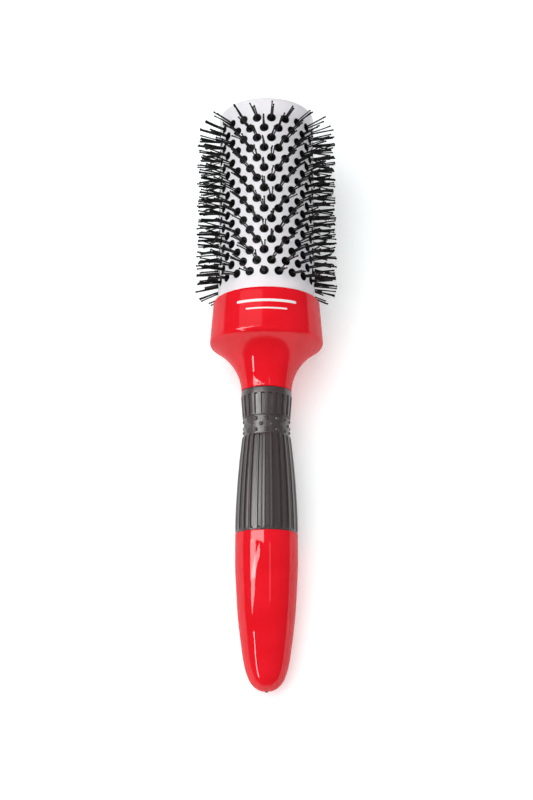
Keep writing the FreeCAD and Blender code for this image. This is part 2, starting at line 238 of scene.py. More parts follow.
def hole_cell(across, along):
    """Outline of the plate around one hole: the sides of a rectangle, across by along, as
    evenly spaced points that run anticlockwise from its right-hand middle."""
    flat = np.linspace(0.5, -0.5, cell_across + 1)[1:]
    fall = np.linspace(0.5, -0.5, cell_along + 1)[1:]
    half = np.full(cell_across, 0.5)
    low = cell_along // 2 - 1
    x = np.concatenate([half[low:cell_along], flat, -half[:cell_along], -flat, half[:low]])
    y = np.concatenate([-fall[low:], half, fall, -half, -fall[:low]])
    return x * across, y * along


def perforated_tube():
    """A flat cell (x, y, depth) for each hole, wrapped on the barrel: the angle grows by
    x / barrel_r and the radius is barrel_r - depth.  A cell's loops are the plate's edge, the
    lip's circles, the foot of the wall and the inner plate.  Plain rings carry on to both ends."""
    edge_x, edge_y = hole_cell(barrel_r * column_pitch, ring_pitch)
    turn = np.arange(hole_points) * 2 * math.pi / hole_points
    radii = [hole_r + out * MM for out, _ in hole_lip]
    x = np.stack([edge_x] + [radius * np.cos(turn) for radius in radii] + [edge_x])
    y = np.stack([edge_y] + [radius * np.sin(turn) for radius in radii] + [edge_y])
    depth = np.array([0.0] + [down for _, down in hole_lip] + [barrel_wall / MM])[:, None] * MM
    ring = np.arange(ring_count)[:, None]
    column = np.arange(hole_columns)[None, :]
    angle = first_hole + (column + 0.5 * (ring % 2)) * column_pitch
    centre_y = first_ring_y + ring * ring_pitch + 0 * column
    points = polar(angle[..., None, None] + x / barrel_r, barrel_r - depth,
                   centre_y[..., None, None] + y)
    cell = grid_faces(x.shape[0], hole_points, False, True)
    count = ring_count * hole_columns
    faces = (cell[None] + (np.arange(count) * x.size)[:, None, None]).reshape(-1, 4)
    vertices = [points.reshape(-1, 3)]
    start = count * x.size
    low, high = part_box("barrel_tube")[0][1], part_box("barrel_tube")[1][1]
    turn = first_hole + (np.arange(hole_columns * cell_across) / cell_across - 0.5) * column_pitch
    inner = barrel_r - barrel_wall
    for near, far in ((first_ring_y - ring_pitch / 2, low), (last_ring_y + ring_pitch / 2, high)):
        ends = [(barrel_r, near), (barrel_r, near + (far - near) * 0.5), (barrel_r, far),
                (inner, far), (inner, near)]
        loops = np.stack([polar(turn, radius, place) for radius, place in ends])
        faces = np.concatenate([faces, grid_faces(len(ends), turn.size, False, True) + start])
        vertices.append(loops.reshape(-1, 3))
        start += loops.size // 3
    return solid("perforated_barrel", np.concatenate(vertices), faces.tolist())


coat_white = (0.88, 0.862, 0.895)
# Near black painted on the walls of the holes, as painted shade inside them.
wall_shade_colour = (0.020, 0.019, 0.019, 1.0)
# A colour Mix node's sockets by number: its factor, its two colours, and its result.
mix_factor, mix_first, mix_second, mix_result = 0, 6, 7, 2


def coat_material(name, colour, shade, smoothest, roughest, peel, shade_r=None):
    """White coat: faint orange peel, a trace of mottling and very fine specks.  Nearer the
    brush axis than the radius given last, when it is given, the walls of the holes are painted
    near black, as painted shade."""
    material, tree, shader = new_material(name, Coat_Weight=0.06, Coat_Roughness=0.15,
                                          Specular_IOR_Level=0.30)
    place = new_node(tree, "ShaderNodeTexCoord")
    mottle = new_node(tree, "ShaderNodeTexNoise", {"Scale": 120.0, "Detail": 3.0})
    speck = new_node(tree, "ShaderNodeTexNoise", {"Scale": 3500.0, "Detail": 2.0})
    speck_share = 0.35
    mixed = new_node(tree, "ShaderNodeMath", {1: speck_share}, operation="MULTIPLY_ADD")
    bump = new_node(tree, "ShaderNodeBump", {"Strength": 0.6, "Distance": peel})
    for noise in (mottle, speck):
        tree.links.new(place.outputs["Object"], noise.inputs["Vector"])
    tree.links.new(speck.outputs["Fac"], mixed.inputs[0])
    tree.links.new(mottle.outputs["Fac"], mixed.inputs[2])
    value = spread(tree, mixed.outputs["Value"], 0.2, 0.6)
    coat = tint(tree, value, shade, colour)
    if shade_r:
        # Painted shade: the hole walls turn near black nearer the axis than the given radius.
        arm = new_node(tree, "ShaderNodeVectorMath", {1: (1.0, 0.0, 1.0)}, operation="MULTIPLY")
        radius = new_node(tree, "ShaderNodeVectorMath", operation="LENGTH")
        cover = new_node(tree, "ShaderNodeMapRange", {
            "From Min": shade_r, "From Max": shade_r + 0.06 * MM})
        skin = new_node(tree, "ShaderNodeMix", {mix_first: wall_shade_colour}, data_type="RGBA")
        tree.links.new(place.outputs["Object"], arm.inputs[0])
        tree.links.new(arm.outputs["Vector"], radius.inputs[0])
        tree.links.new(radius.outputs["Value"], cover.inputs["Value"])
        tree.links.new(cover.outputs["Result"], skin.inputs[mix_factor])
        tree.links.new(coat, skin.inputs[mix_second])
        coat = skin.outputs[mix_result]
    tree.links.new(coat, shader.inputs["Base Color"])
    tree.links.new(spread(tree, mottle.outputs["Fac"], smoothest, roughest),
                   shader.inputs["Roughness"])
    tree.links.new(speck.outputs["Fac"], bump.inputs["Height"])
    tree.links.new(bump.outputs["Normal"], shader.inputs["Normal"])
    return material


def carry(piece, body, slot_name, material, *nodes):
    """Gives a finished piece its material and its body, and hides the CAD nodes it stands for.
    slot_name is not used.
    """
    piece.data.materials.append(material)
    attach(piece, body)
    if nodes:
        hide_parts(*nodes)


ceramic_coat = coat_material("ceramic_coat", coat_white, (0.83, 0.812, 0.85),
                             0.32, 0.44, 0.00001, wall_shade_r)
carry(perforated_tube(), "brush", "barrel_coating", ceramic_coat, "barrel_tube")


# ---- Barrel end cap --------------------------------------------------------------------
# White moulded cap with a rounded edge, pressed into the tube's far end by its skirt.

cap_thickness = 1.6 * MM
cap_edge = 1.1 * MM
skirt_wall = 1.8 * MM
skirt_r = barrel_r - barrel_wall - 0.05 * MM
skirt_edge = 0.3 * MM


def rounded(corners, steps=6):
    """A section's outline from (radius, y, rounding) corners: each is replaced by an arc of
    that rounding, tangent to both sides, whose steps points swing between its two ends."""
    spots = np.array([(r, y) for r, y, _ in corners])
    outline = []
    for index, (radius, y, rounding) in enumerate(corners):
        here = spots[index]
        before = spots[index - 1] - here
        after = spots[(index + 1) % len(spots)] - here
        if rounding == 0:
            outline.append(here)
            continue
        before = before / np.linalg.norm(before)
        after = after / np.linalg.norm(after)
        half = math.acos(np.clip(before @ after, -1, 1)) / 2
        middle = (before + after) / np.linalg.norm(before + after)
        hub = here + middle * rounding / math.sin(half)
        first = here + before * rounding / math.tan(half) - hub
        last = here + after * rounding / math.tan(half) - hub
        swing = math.pi - 2 * half
        for share in np.linspace(0, 1, steps):
            arm = (math.sin((1 - share) * swing) * first + math.sin(share * swing) * last)
            outline.append(hub + arm / math.sin(swing))
    return np.array(outline)


def turned(name, outline, segments=160, crease=35.0):
    """The outline's (radius, y) rows carried around the brush axis at equal angles."""
    angle = np.linspace(0, 2 * math.pi, segments, endpoint=False)
    points = polar(angle[None, :], outline[:, 0][:, None], outline[:, 1][:, None])
    faces = grid_faces(len(outline), segments, True, True)
    return solid(name, points.reshape(-1, 3), faces.tolist(), crease)


def end_cap():
    """A disc with a ring skirt: one outline of corners and arcs, turned about the axis."""
    floor_y = tip_y - cap_thickness
    skirt_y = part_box("barrel_end_cap")[0][1]
    return turned("barrel_cap", rounded([
        (0, floor_y, 0), (skirt_r - skirt_wall, floor_y, 0),
        (skirt_r - skirt_wall, skirt_y, skirt_edge), (skirt_r, skirt_y, skirt_edge),
        (skirt_r, floor_y, 0), (barrel_r, floor_y, 0.08 * MM), (barrel_r, tip_y, cap_edge),
        (0, tip_y, 0)], 9))


cap_plastic = coat_material("cap_plastic", coat_white, (0.84, 0.822, 0.86),
                            0.26, 0.36, 0.000008)
carry(end_cap(), "brush", "cap_plastic", cap_plastic, "barrel_end_cap")


# ---- Bristle strips --------------------------------------------------------------------
# Black nylon filaments with ball tips, heat-welded in threes to a nylon rail that lies along
# the inside of the barrel.  Each rail serves two staggered columns of holes.

rail_outer_r = barrel_r - barrel_wall - 0.3 * MM
rail_inner_r = rail_outer_r - 2.2 * MM
rail_gap = 0.3 * MM
rail_start_y = first_ring_y - 17.65 * MM
rail_end_y = last_ring_y + hole_r + 0.7 * MM
tongue_half = 1.0 * MM
tongue_depth = 1.5 * MM
tuft_size = 3
filament_r = 0.30 * MM
filament_sides = 6
filament_root_r = rail_outer_r - 1.2 * MM
filament_bend = 0.40 * MM
ball_r = 0.43 * MM
tip_r = 30.8 * MM
tip_scatter = 0.4 * MM
# Leans in degrees: of a whole tuft, of each filament by itself, and outwards within its tuft.
tuft_lean, own_lean, outward_lean = 2.4, 0.9, 1.0


def rail_grid(centre, low, high):
    """The rail's section, an arc of one column's pitch less the gap with a square tongue under
    its middle, at two places along the brush: low and high."""
    half = column_pitch / 2 - rail_gap / 2 / rail_outer_r
    swing = np.linspace(-half, half, 9)
    tongue = tongue_half / rail_inner_r
    under = [half, tongue, tongue, -tongue, -tongue, -half]
    depth = [0, 0, tongue_depth, tongue_depth, 0, 0]
    angle = np.concatenate([swing, under]) + centre
    radius = np.concatenate([np.full(swing.size, rail_outer_r), rail_inner_r - np.array(depth)])
    ends = np.array([low, high])[:, None]
    return polar(angle[None, :], radius[None, :], ends)


def filament_grid(root, way, bend, length, spin):
    """Filaments root + way s + bend (s / length) squared, with s from 0 to length.  Each point
    of that line carries a loop across it, filament_r wide and then as wide as the ball."""
    reach = np.array([0.0, 0.2, 0.45, 0.7, 0.92])
    ball = [(-0.75, 0.72), (-0.1, 1.0), (0.55, 0.86), (0.9, 0.45), (1.0, 0.0)]
    ball_along, ball_width = zip(*ball)
    along = np.concatenate([reach * (length[:, None] - ball_r) / length[:, None],
                            1 + np.outer(np.full(len(root), ball_r) / length, ball_along)], axis=1)
    width = np.array([filament_r] * reach.size + [share * ball_r for share in ball_width])
    path = (root[:, None] + way[:, None] * (along * length[:, None])[..., None]
            + bend[:, None] * (along ** 2)[..., None])
    heading = way[:, None] + 2 * bend[:, None] * (along / length[:, None])[..., None]
    heading /= np.linalg.norm(heading, axis=2, keepdims=True)
    side = np.cross(heading, [0.0, 1.0, 0.0])
    side /= np.linalg.norm(side, axis=2, keepdims=True)
    other = np.cross(heading, side)
    turn = (np.arange(filament_sides) * 2 * math.pi / filament_sides)[None, :] + spin[:, None]
    circle = (side[:, :, None] * np.cos(turn)[:, None, :, None]
              + other[:, :, None] * np.sin(turn)[:, None, :, None])
    return path[:, :, None] + circle * width[None, :, None, None]


def end_splay(ring):
    """Degrees that the rings at the ends fan out: 12 towards the handle and 8 towards the cap,
    each falling off as the exponential of the count of rings from that end."""
    return -12.0 * np.exp(-ring / 0.9) + 8.0 * np.exp((ring - ring_count + 1) / 1.3)


def bristle_strip(number, luck):
    """One strip: the rail, and a tuft of filaments through each hole.  A filament heads outwards
    plus the tangents of its leans sideways and along the brush, which are drawn by chance, and
    its root is shifted back so that it passes near the middle of its hole."""
    centre = first_hole + (number + 0.25) * column_pitch
    ring = np.repeat(np.arange(ring_count), tuft_size)
    strand = np.tile(np.arange(tuft_size), ring_count)
    count = ring.size
    angle = centre + ((ring % 2) - 0.5) * column_pitch / 2
    fan = strand * 2 * math.pi / tuft_size + luck.uniform(0, 2 * math.pi, ring_count)[ring]
    spot = luck.uniform(0.32, 0.50, count) * MM
    tuft_x, tuft_y = luck.normal(0, tuft_lean, (2, ring_count))
    lean_x = tuft_x[ring] + luck.normal(0, own_lean, count) + outward_lean * np.cos(fan)
    lean_y = (tuft_y[ring] + luck.normal(0, own_lean, count) + outward_lean * np.sin(fan)
              + end_splay(ring))
    lean_x, lean_y = np.radians(lean_x), np.radians(lean_y)
    outward = polar(angle, 1.0, 0.0)
    sideways = polar(angle + math.pi / 2, 1.0, 0.0)
    axial = np.array([0.0, 1.0, 0.0])
    way = outward + sideways * np.tan(lean_x)[:, None] + axial * np.tan(lean_y)[:, None]
    way /= np.linalg.norm(way, axis=1, keepdims=True)
    gap = barrel_r - barrel_wall / 2 - filament_root_r
    taken_back = 0.8
    shift_x = spot * np.cos(fan) - gap * np.tan(lean_x) * taken_back
    shift_y = spot * np.sin(fan) - gap * np.tan(lean_y) * taken_back
    y = first_ring_y + ring * ring_pitch + shift_y
    root = outward * filament_root_r + sideways * shift_x[:, None] + axial * y[:, None]
    bend = (sideways * luck.normal(0, filament_bend, count)[:, None]
            + axial * luck.normal(0, filament_bend, count)[:, None])
    rise = tip_r - filament_root_r + np.clip(luck.normal(0, 1, count), -2.5, 1.2) * tip_scatter
    length = rise / np.einsum("ij,ij->i", way, outward)
    spin = luck.uniform(0, 2 * math.pi / filament_sides, count)
    loops = filament_grid(root, way, bend, length, spin)
    rail = rail_grid(centre, rail_start_y, rail_end_y)
    section = rail.shape[1]
    rail_sides = grid_faces(2, section, False, True)
    rail_ends = [list(range(section))[::-1], list(range(section, 2 * section))]
    first = np.arange(count) * loops.shape[1] * filament_sides + 2 * section
    hairs = grid_faces(loops.shape[1], filament_sides, False, True) + first[:, None, None]
    faces = rail_sides.tolist() + rail_ends + hairs.reshape(-1, 4).tolist()
    vertices = np.concatenate([rail.reshape(-1, 3), loops.reshape(-1, 3)])
    return solid(f"strip_{number + 1:02d}", vertices, faces, 60.0, open_sides=8)


drawn_nylon = grained("drawn_nylon", (0.0020, 0.0018, 0.0018), (0.0045, 0.0040, 0.0040),
                      0.34, 0.48, 2500.0, 0.000004, Specular_IOR_Level=0.28)
chance = np.random.default_rng(21)
for number in range(hole_columns):
    carry(bristle_strip(number, chance), "brush", "bristle_nylon", drawn_nylon,
          f"bristle_strip_{number + 1:02d}")


# ---- Red collar ------------------------------------------------------------------------
# High-gloss red plastic with a fine pearl, moulded as a funnel: a hub around the spine, a flare,
# and a cone with the barrel's socket.  White bars are pad-printed on the cone.

def smooth_line(points, first_way, last_way, count):
    """Cubic pieces through the points, with s the share of each piece's chord.  Their slopes
    solve for a continuous second derivative inside and for the given ways at both ends."""
    points = np.array(points, float)
    chord = np.linalg.norm(np.diff(points, axis=0), axis=1)
    place = np.concatenate([[0], np.cumsum(chord)])
    ways = np.array([first_way, last_way], float)
    ways /= np.linalg.norm(ways, axis=1, keepdims=True)
    size = len(points)
    matrix = np.eye(size)
    right = np.zeros_like(points)
    right[0], right[-1] = ways
    for i in range(1, size - 1):
        matrix[i, i - 1:i + 2] = [chord[i], 2 * (chord[i - 1] + chord[i]), chord[i - 1]]
        right[i] = 3 * (chord[i] / chord[i - 1] * (points[i] - points[i - 1])
                        + chord[i - 1] / chord[i] * (points[i + 1] - points[i]))
    slope = np.linalg.solve(matrix, right)
    want = np.linspace(0, place[-1], count)
    span = np.clip(np.searchsorted(place, want, side="right") - 1, 0, size - 2)
    h = chord[span][:, None]
    s = ((want - place[span]) / chord[span])[:, None]
    return ((2 * s ** 3 - 3 * s ** 2 + 1) * points[span]
            + (s ** 3 - 2 * s ** 2 + s) * h * slope[span]
            + (3 * s ** 2 - 2 * s ** 3) * points[span + 1]
            + (s ** 3 - s ** 2) * h * slope[span + 1])


neck_r = 10.95 * MM
mouth_r = barrel_r + 2.0 * MM
widest_r = mouth_r + 1.4 * MM
neck_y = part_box("handle_collar")[0][1]
flare_start = neck_y - 0.05 * MM
flare_length = 22.4 * MM
socket_r = barrel_r + 0.06 * MM
seat_y = mouth_y - 10.0 * MM
seat_ring_r = 19.5 * MM
pocket_bevel, pocket_taper = 1.35 * MM, 3.8 * MM
pocket_floor_y = flare_start + 13.0 * MM
hub_foot = 1.2 * MM
hub_r = 10.1 * MM
hub_y = flare_start + flare_length + 1.1 * MM
spine_bore_r = 7.55 * MM
# The flare, as shares of its length along the brush and of its rise from the neck.
flare = [(0.185, 0.036), (0.375, 0.1355), (0.5, 0.245), (0.625, 0.39), (0.75, 0.585),
         (0.875, 0.845), (0.955, 0.985), (1.0, 1.0)]


def funnel():
    """One outline turned about the axis: a smooth line through the flare's points, a straight
    cone to the lip, then the socket, its seat, the pocket around the hub, the hub and bore."""
    neck_edge = [(neck_r - 0.35 * MM, neck_y), (neck_r - 0.10 * MM, neck_y + 0.10 * MM)]
    points = [(neck_r, neck_y + 0.35 * MM)]
    points += [(neck_r + (widest_r - neck_r) * up, flare_start + flare_length * along)
               for along, up in flare]
    outside = smooth_line(points, (0, 1), (0, 1), 90)
    lip = rounded([(*outside[-1], 0), (mouth_r, mouth_y, 0.55 * MM),
                   (socket_r, mouth_y, 0.25 * MM), (socket_r, seat_y, 0),
                   (seat_ring_r, seat_y, 0), (seat_ring_r, hub_y - pocket_bevel, 0),
                   (seat_ring_r - pocket_bevel, hub_y - pocket_taper, 0),
                   (hub_r + hub_foot, pocket_floor_y, 0), (hub_r, pocket_floor_y, 0),
                   (hub_r, hub_y, 0), (spine_bore_r, hub_y, 0), (spine_bore_r, neck_y, 0)])
    cone_line = np.linspace(outside[-1], lip[1], 14)[1:-1]
    return turned("red_collar", np.concatenate([neck_edge, outside, cone_line, lip[1:]]), 224)


ink_white = (0.86, 0.84, 0.84, 1.0)
printed_r = 24.2 * MM
# The bars in millimetres: down from the mouth, half the length, and half the height.
bars = ((6.4, 13.5, 0.62), (10.0, 9.0, 0.36))


def printed_bars():
    """Mask of plain bars with round ends: 1 where the distance to a bar's middle line is under
    half its height, with arc length around the cone as x and the place along the brush as y."""
    group, _, made = new_group("printed_bars", [], [("Mask", "NodeSocketFloat")])
    place = new_node(group, "ShaderNodeTexCoord")
    parts = new_node(group, "ShaderNodeSeparateXYZ")
    angle = new_node(group, "ShaderNodeMath", operation="ARCTAN2")
    arc = new_node(group, "ShaderNodeMath", {1: printed_r}, operation="MULTIPLY")
    group.links.new(place.outputs["Object"], parts.inputs["Vector"])
    group.links.new(parts.outputs["X"], angle.inputs[0])
    group.links.new(parts.outputs["Z"], angle.inputs[1])
    group.links.new(angle.outputs["Value"], arc.inputs[0])
    masks = []
    for down, half_length, half_height in bars:
        shifted = new_node(group, "ShaderNodeMath", {1: -(mouth_y - down * MM)}, operation="ADD")
        flat = new_node(group, "ShaderNodeMath", operation="ABSOLUTE")
        beyond = new_node(group, "ShaderNodeMath", {1: (half_length - half_height) * MM},
                          operation="SUBTRACT")
        outside = new_node(group, "ShaderNodeMath", {1: 0.0}, operation="MAXIMUM")
        pair = new_node(group, "ShaderNodeCombineXYZ")
        distance = new_node(group, "ShaderNodeVectorMath", operation="LENGTH")
        edge = new_node(group, "ShaderNodeMapRange", {
            "From Min": (half_height + 0.03) * MM, "From Max": (half_height - 0.03) * MM})
        group.links.new(parts.outputs["Y"], shifted.inputs[0])
        group.links.new(arc.outputs["Value"], flat.inputs[0])
        group.links.new(flat.outputs["Value"], beyond.inputs[0])
        group.links.new(beyond.outputs["Value"], outside.inputs[0])
        group.links.new(outside.outputs["Value"], pair.inputs["X"])
        group.links.new(shifted.outputs["Value"], pair.inputs["Y"])
        group.links.new(pair.outputs["Vector"], distance.inputs[0])
        group.links.new(distance.outputs["Value"], edge.inputs["Value"])
        masks.append(edge.outputs["Result"])
    both = new_node(group, "ShaderNodeMath", operation="MAXIMUM")
    group.links.new(masks[0], both.inputs[0])
    group.links.new(masks[1], both.inputs[1])
    group.links.new(both.outputs["Value"], made.inputs["Mask"])
    return group


def red_gloss(name, printed):
    """Clear-coated red: cloudy noise and fine pearl flecks shift its colour, the noise its
    roughness.  printed lays the white bars over it."""
    material, tree, shader = new_material(
        name, Coat_Weight=0.30, Coat_Roughness=0.03, Coat_IOR=2.0, Specular_IOR_Level=0.0)
    place = new_node(tree, "ShaderNodeTexCoord")
    cloud = new_node(tree, "ShaderNodeTexNoise", {"Scale": 55.0, "Detail": 2.0})
    fleck = new_node(tree, "ShaderNodeTexVoronoi", {"Scale": 2600.0})
    pearl = new_node(tree, "ShaderNodeMapRange", {
        "From Min": 0.0, "From Max": 0.35, "To Min": 1.0, "To Max": 0.0})
    fleck_share = 0.12
    mixed = new_node(tree, "ShaderNodeMath", {1: fleck_share}, operation="MULTIPLY_ADD")
    for texture in (cloud, fleck):
        tree.links.new(place.outputs["Object"], texture.inputs["Vector"])
    tree.links.new(fleck.outputs["Distance"], pearl.inputs["Value"])
    tree.links.new(pearl.outputs["Result"], mixed.inputs[0])
    tree.links.new(cloud.outputs["Fac"], mixed.inputs[2])
    colour = tint(tree, mixed.outputs["Value"], (0.76, 0.0055, 0.013), (0.86, 0.010, 0.023))
    roughness = spread(tree, cloud.outputs["Fac"], 0.22, 0.30)
    if printed:
        ink = new_node(tree, "ShaderNodeGroup", node_tree=printed_bars())
        paint = new_node(tree, "ShaderNodeMix", {mix_second: ink_white}, data_type="RGBA")
        tree.links.new(ink.outputs["Mask"], paint.inputs[mix_factor])
        tree.links.new(colour, paint.inputs[mix_first])
        colour = paint.outputs[mix_result]
    tree.links.new(colour, shader.inputs["Base Color"])
    tree.links.new(roughness, shader.inputs["Roughness"])
    return material


carry(funnel(), "brush", "red_plastic", red_gloss("red_gloss_printed", True), "handle_collar")


# ---- Rubber grip -----------------------------------------------------------------------
# Satin dark grey rubber moulded over the spine: long flat-topped ribs, a waist band with three
# staggered rows of pips, a zone of short slots, and a plain rim against the collar.

grip_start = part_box("grip_sleeve")[0][1]
grip_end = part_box("grip_sleeve")[1][1] + 0.05 * MM
foot_r, waist_r, band_r = 13.32 * MM, 10.5 * MM, 9.8 * MM
slot_zone_start = grip_end - (2.6 + 9.7) * MM
band_start = slot_zone_start - 8.0 * MM
rim_start = grip_end - 2.6 * MM
rib_count, slot_count, pip_count = 25, 22, 13
pip_rows = 3
# In millimetres, unlike the other sizes here.
groove_depth, rib_dish = 0.80, 0.10
pip_row_pitch, pip_r, pip_height = 2.45, 0.78, 0.62
slot_length = 8.7 * MM
slot_half = 0.75 * MM
slot_depth = 0.75 * MM
slot_edge = 0.06 * MM
head_foot_r, head_start_r, head_end_r = 9.5 * MM, 10.4 * MM, 11.17 * MM
head_edge = 0.2 * MM
rim_r, rim_face_r, rim_edge = 10.95 * MM, 10.2 * MM, 0.40 * MM
rim_end = grip_end - 0.05 * MM
row_gap = 1e-7
# The belly, as shares of its length along the brush and of its fall from the foot to the waist.
belly = [(0.22, 0.06), (0.48, 0.262), (0.74, 0.575), (1.0, 1.0)]
# Where columns of vertices stand within one pitch: close together at the sides of a groove.
rib_phases = [0.0, 0.06, 0.12, 0.148, 0.16, 0.175, 0.188, 0.201, 0.23, 0.30, 0.36, 0.43,
              0.5, 0.57, 0.64, 0.70, 0.77, 0.799, 0.812, 0.825, 0.84, 0.852, 0.88, 0.94]
pip_phases = np.arange(32) / 32
slot_phases = [0.0, 0.10, 0.18, 0.215, 0.228, 0.235, 0.242, 0.249, 0.256, 0.27, 0.32, 0.41,
               0.5, 0.59, 0.68, 0.73, 0.744, 0.751, 0.758, 0.765, 0.772, 0.785, 0.82, 0.90]


def step(value, low, high):
    """0 below low, 1 above high, and the cubic 3 share squared less 2 share cubed between."""
    share = np.clip((value - low) / (high - low), 0, 1)
    return share * share * (3 - 2 * share)


def fine_turn(count, phases):
    """Angles around the grip: the same phases within each of count equal pitches."""
    return ((np.arange(count)[:, None] + np.array(phases)[None, :]) * 2 * math.pi / count).ravel()


def ribbed_radius(angle, y, skin):
    """The belly's skin less grooves, which start steeply where the distance from a rib's middle
    passes 0.6 of half a pitch, and less a shallow dish in that middle.  Both fade out before
    the plain foot."""
    off_middle = np.abs((angle * rib_count / (2 * math.pi)) % 1.0 - 0.5) * 2
    groove = step(off_middle, 0.60, 0.70)
    dish = rib_dish * step(0.40 - off_middle, 0.0, 0.30)
    fade = step(y, grip_start + 0.7 * MM, grip_start + 1.3 * MM)
    return skin - (groove_depth * groove + dish) * MM * fade


def pip_radius(angle, y):
    """The band's radius plus pips in staggered rows: each rises by pip_height times the root of
    1 less the squared distance from its middle over pip_r."""
    radius = np.full(np.broadcast(angle, y).shape, band_r)
    middle = (band_start + slot_zone_start) / 2
    pitch = 2 * math.pi / pip_count
    for row in range(pip_rows):
        row_y = middle + (row - pip_rows // 2) * pip_row_pitch * MM
        near = (angle / pitch - 0.5 * (row % 2) + 0.5) % 1.0 - 0.5
        reach = np.hypot(near * pitch * band_r, y - row_y)
        pip = np.sqrt(np.clip(1 - (reach / (pip_r * MM)) ** 2, 0, 1)) * pip_height * MM
        radius = radius + pip
    return radius


def slot_radius(angle, y, skin):
    """The upper zone's skin less short slots along the brush, one slot_depth deep where the
    larger of the distances to a slot's middle line and past its length is under slot_half."""
    pitch = 2 * math.pi / slot_count
    near = ((angle / pitch) % 1.0 - 0.5) * pitch * skin
    middle = (slot_zone_start + rim_start) / 2
    beyond = np.abs(y - middle) - (slot_length / 2 - slot_half)
    reach = np.maximum(np.abs(near), beyond)
    return skin - slot_depth * (1 - step(reach, slot_half - slot_edge, slot_half + slot_edge))


def grip_shell(y, radius_of, angle):
    """Closed shell of one zone: radius_of(angle, y) over a grid of both outside, and the
    spine's bore inside."""
    outside = polar(angle[None, :], radius_of(angle[None, :], y[:, None]), y[:, None])
    bore = polar(angle[None, :], spine_bore_r, y[[-1, 0]][:, None])
    points = np.concatenate([outside, bore])
    return points.reshape(-1, 3), grid_faces(len(points), angle.size, True, True)


def belly_skin():
    """The belly's (radius, y) line: smooth through its points, and turned in at both edges."""
    length = band_start - grip_start
    points = [(foot_r, grip_start)]
    points += [(foot_r - (foot_r - waist_r) * down, grip_start + length * along)
               for along, down in belly]
    skin = smooth_line(points, (0, 1), (-0.125, 1), 90)
    skin[:4, 0] -= np.array([0.22, 0.08, 0.02, 0.0]) * MM
    skin[-3:, 0] -= np.array([0.0, 0.08, 0.3]) * MM
    return np.concatenate([skin, [(waist_r - 0.75 * MM, band_start + 0.05 * MM)]])


def head_skin():
    """The slot zone's and rim's (radius, y) line, with more rows where the slots end.  Each row
    is moved row_gap beyond the last, so that y only grows."""
    line = rounded([(head_foot_r, slot_zone_start, 0), (head_start_r, slot_zone_start, head_edge),
                    (head_end_r, rim_start, head_edge), (rim_r, rim_start + 0.12 * MM, 0),
                    (rim_r, rim_end, rim_edge), (rim_face_r, rim_end, 0)], 5)
    slot_ends = [0.012, 0.040, 0.048, 0.056, 0.064, 0.10]
    shares = np.concatenate([slot_ends, np.linspace(0.16, 0.84, 12),
                             1 - np.array(slot_ends[::-1])])
    long_side = line[5] + (line[6] - line[5]) * shares[:, None]
    line = np.concatenate([line[:6], long_side, line[6:]])
    line[:, 1] += np.arange(len(line)) * row_gap
    return line


def rubber_grip():
    """Three closed shells end to end: the ribbed belly, the band of pips and the slotted head."""
    waist, head = belly_skin(), head_skin()
    band = np.linspace(band_start - 0.1 * MM, slot_zone_start + 0.1 * MM, 46)
    zones = [
        (waist[:, 1], lambda angle, y: ribbed_radius(
            angle, y, np.interp(y, waist[:, 1], waist[:, 0])), fine_turn(rib_count, rib_phases)),
        (band, pip_radius, fine_turn(pip_count, pip_phases)),
        (head[:, 1], lambda angle, y: slot_radius(
            angle, y, np.interp(y, head[:, 1], head[:, 0])),
         fine_turn(slot_count, slot_phases) + math.pi / slot_count)]
    vertices, faces, start = [], [], 0
    for y, radius_of, columns in zones:
        points, quads = grip_shell(y, radius_of, columns)
        vertices.append(points)
        faces.append(quads + start)
        start += len(points)
    return solid("rubber_grip", np.concatenate(vertices), np.concatenate(faces).tolist(), 50.0)


satin_rubber = grained("satin_rubber", (0.042, 0.032, 0.032), (0.076, 0.060, 0.060),
                       0.26, 0.38, 2600.0, 0.00003, Specular_IOR_Level=0.8)
carry(rubber_grip(), "brush", "grip_rubber", satin_rubber, "grip_sleeve")


# ---- Red tail --------------------------------------------------------------------------
# The same red plastic as the collar, a hollow shell with a bullet nose.  The pick leaves
# through a small round hole in the butt.

butt_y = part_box("handle_tail")[0][1]
tail_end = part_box("handle_tail")[1][1]
tail_r = 13.28 * MM
tail_straight = 10.6 * MM
plug_seat_r, plug_seat_y = 10.7 * MM, tail_end - 20 * MM
chamber_r, chamber_start_y, chamber_end_y = 5.55 * MM, butt_y + 14 * MM, butt_y + 22 * MM
guide_r, guide_start_y, guide_end_y = 2.45 * MM, butt_y + 4.5 * MM, butt_y + 12 * MM
butt_hole_r = 1.05 * MM
# The nose, as shares of its length from the butt and of the tail's radius.
nose = [(0.0385, 0.414), (0.141, 0.640), (0.319, 0.783), (0.560, 0.904), (0.804, 0.971),
        (1.0, 1.0)]


def tail_outside():
    """The tail's (radius, y) line: smooth from the butt's hole through the nose's points, square
    to the axis at the butt and along it where the plain cylinder starts."""
    length = tail_end + 0.05 * MM - tail_straight - butt_y
    points = [(butt_hole_r, butt_y)]
    points += [(tail_r * up, butt_y + length * along) for along, up in nose]
    return smooth_line(points, (1, 0), (0, 1), 90)


def red_tail():
    """One outline turned about the axis: the outside, the rim, and inside it the plug's seat,
    a taper to the slider's chamber, the guide bush's seat and the pick's hole."""
    outside = tail_outside()
    rim = rounded([(*outside[-1], 0), (tail_r, tail_end, 0.35 * MM),
                   (plug_seat_r, tail_end, 0.1 * MM), (plug_seat_r, plug_seat_y, 0),
                   (chamber_r, chamber_end_y, 0), (chamber_r, chamber_start_y, 0),
                   (guide_r, guide_end_y, 0), (guide_r, guide_start_y, 0),
                   (butt_hole_r, guide_start_y, 0)])
    return turned("red_tail", np.concatenate([outside, rim[1:]]), 224)


carry(red_tail(), "brush", "red_plastic", red_gloss("red_gloss", False), "handle_tail")


# ---- Sectioning pick -------------------------------------------------------------------
# Thin dark-coated steel rod with a round tip, pressed into its slider, with a rubber ring
# that holds it by friction wherever it is left.

pick_r = 0.9 * MM
pick_bevel = 0.2 * MM


